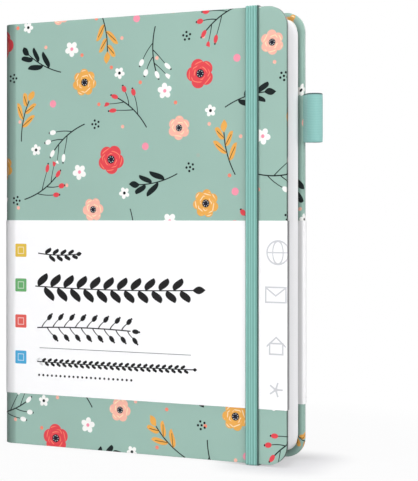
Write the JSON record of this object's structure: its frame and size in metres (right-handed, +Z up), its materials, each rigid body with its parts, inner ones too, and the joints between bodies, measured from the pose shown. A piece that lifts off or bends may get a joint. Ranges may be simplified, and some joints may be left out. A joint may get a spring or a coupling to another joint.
{
  "type": "address book",
  "caption": "Hardcover address book standing upright, with wrapped boards, sewn sections, an elastic closure strap, a paper belly band and an elastic pen loop at the fore-edge.",
  "frame": {"origin": "middle of the underside of the bounding box, where the book stands on its tail edges", "axes": "+Z up along the spine towards the head, +X from the spine to the fore-edge, +Y from the front cover to the back cover, so the front faces -Y"},
  "size_m": [0.151, 0.0256, 0.1975],
  "materials": {
    "cover_sheet": "satin",
    "greyboard": "matte",
    "endpaper": "matte",
    "page": "matte",
    "mull": "matte",
    "thread": "matte",
    "band_cloth": "satin",
    "elastic": "satin",
    "belly_paper": "satin"
  },
  "bodies": {
    "root": {"back_board": "greyboard", "back_cover_sheet": "cover_sheet", "back_pastedown": "endpaper", "spine_board": "greyboard", "spine_cover_sheet": "cover_sheet", "spine_lining": "mull", "sewing_thread": "thread", "head_band": "band_cloth", "tail_band": "band_cloth", "back_flyleaf": "endpaper", "strap_head_run": "elastic", "strap_tail_run": "elastic", "pen_loop": "elastic"},
    "front_cover": {"front_board": "greyboard", "front_cover_sheet": "cover_sheet", "front_pastedown": "endpaper"},
    "front_flyleaf": {"front_flyleaf": "endpaper"},
    "section_01": {"section_01": "page"},
    "section_02": {"section_02": "page"},
    "section_03": {"section_03": "page"},
    "section_04": {"section_04": "page"},
    "section_05": {"section_05": "page"},
    "section_06": {"section_06": "page"},
    "section_07": {"section_07": "page"},
    "section_08": {"section_08": "page"},
    "section_09": {"section_09": "page"},
    "section_10": {"section_10": "page"},
    "section_11": {"section_11": "page"},
    "section_12": {"section_12": "page"},
    "section_13": {"section_13": "page"},
    "closure_strap": {"strap_front": "elastic"},
    "belly_band": {"belly_band_back": "belly_paper"},
    "belly_band_front": {"belly_band_front": "belly_paper"}
  },
  "joints": [
    {"name": "front_cover_hinge", "type": "hinge", "parent": "root", "child": "front_cover", "pos_m": [-0.07125, -0.01213, 0.09875], "axis": [0, 0, -1], "range_deg": [0, 178]},
    {"name": "front_flyleaf_turn", "type": "hinge", "parent": "root", "child": "front_flyleaf", "pos_m": [-0.07125, -0.01213, 0.09875], "axis": [0, 0, -1], "range_deg": [0, 178]},
    {"name": "section_01_turn", "type": "hinge", "parent": "root", "child": "section_01", "pos_m": [-0.07125, -0.01213, 0.09875], "axis": [0, 0, -1], "range_deg": [0, 178]},
    {"name": "section_02_turn", "type": "hinge", "parent": "root", "child": "section_02", "pos_m": [-0.07125, -0.01213, 0.09875], "axis": [0, 0, -1], "range_deg": [0, 178]},
    {"name": "section_03_turn", "type": "hinge", "parent": "root", "child": "section_03", "pos_m": [-0.07125, -0.01213, 0.09875], "axis": [0, 0, -1], "range_deg": [0, 178]},
    {"name": "section_04_turn", "type": "hinge", "parent": "root", "child": "section_04", "pos_m": [-0.07125, -0.01213, 0.09875], "axis": [0, 0, -1], "range_deg": [0, 178]},
    {"name": "section_05_turn", "type": "hinge", "parent": "root", "child": "section_05", "pos_m": [-0.07125, -0.01213, 0.09875], "axis": [0, 0, -1], "range_deg": [0, 178]},
    {"name": "section_06_turn", "type": "hinge", "parent": "root", "child": "section_06", "pos_m": [-0.07125, -0.01213, 0.09875], "axis": [0, 0, -1], "range_deg": [0, 178]},
    {"name": "section_07_turn", "type": "hinge", "parent": "root", "child": "section_07", "pos_m": [-0.07125, -0.01213, 0.09875], "axis": [0, 0, -1], "range_deg": [0, 178]},
    {"name": "section_08_turn", "type": "hinge", "parent": "root", "child": "section_08", "pos_m": [-0.07125, -0.01213, 0.09875], "axis": [0, 0, -1], "range_deg": [0, 178]},
    {"name": "section_09_turn", "type": "hinge", "parent": "root", "child": "section_09", "pos_m": [-0.07125, -0.01213, 0.09875], "axis": [0, 0, -1], "range_deg": [0, 178]},
    {"name": "section_10_turn", "type": "hinge", "parent": "root", "child": "section_10", "pos_m": [-0.07125, -0.01213, 0.09875], "axis": [0, 0, -1], "range_deg": [0, 178]},
    {"name": "section_11_turn", "type": "hinge", "parent": "root", "child": "section_11", "pos_m": [-0.07125, -0.01213, 0.09875], "axis": [0, 0, -1], "range_deg": [0, 178]},
    {"name": "section_12_turn", "type": "hinge", "parent": "root", "child": "section_12", "pos_m": [-0.07125, -0.01213, 0.09875], "axis": [0, 0, -1], "range_deg": [0, 178]},
    {"name": "section_13_turn", "type": "hinge", "parent": "root", "child": "section_13", "pos_m": [-0.07125, -0.01213, 0.09875], "axis": [0, 0, -1], "range_deg": [0, 178]},
    {"name": "closure_strap_release", "type": "slide", "parent": "root", "child": "closure_strap", "axis": [0, 1, 0], "range_m": [0, 0.02571], "deforming": ["strap_front", "strap_head_run", "strap_tail_run"]},
    {"name": "belly_band_slide", "type": "slide", "parent": "root", "child": "belly_band", "axis": [0, 0, 1], "range_m": [-0.0115, 0.03]},
    {"name": "belly_band_fold", "type": "hinge", "parent": "belly_band", "child": "belly_band_front", "pos_m": [-0.07125, -0.01213, 0.09875], "axis": [0, 0, -1], "range_deg": [0, 178]}
  ],
  "couplings": [
    {"joint": "front_flyleaf_turn", "follows": "front_cover_hinge", "ratio": 0.975},
    {"joint": "section_01_turn", "follows": "front_cover_hinge", "ratio": 0.955},
    {"joint": "section_02_turn", "follows": "front_cover_hinge", "ratio": 0.935},
    {"joint": "section_03_turn", "follows": "front_cover_hinge", "ratio": 0.91},
    {"joint": "section_04_turn", "follows": "front_cover_hinge", "ratio": 0.885},
    {"joint": "section_05_turn", "follows": "front_cover_hinge", "ratio": 0.855},
    {"joint": "section_06_turn", "follows": "front_cover_hinge", "ratio": 0.82},
    {"joint": "section_07_turn", "follows": "front_cover_hinge", "ratio": 0.26},
    {"joint": "section_08_turn", "follows": "front_cover_hinge", "ratio": 0.2},
    {"joint": "section_09_turn", "follows": "front_cover_hinge", "ratio": 0.15},
    {"joint": "section_10_turn", "follows": "front_cover_hinge", "ratio": 0.11},
    {"joint": "section_11_turn", "follows": "front_cover_hinge", "ratio": 0.075},
    {"joint": "section_12_turn", "follows": "front_cover_hinge", "ratio": 0.045},
    {"joint": "section_13_turn", "follows": "front_cover_hinge", "ratio": 0.02},
    {"joint": "closure_strap_release", "follows": "front_cover_hinge", "m_per_rad": 0.0082725},
    {"joint": "belly_band_fold", "follows": "front_cover_hinge", "ratio": 1}
  ]
}
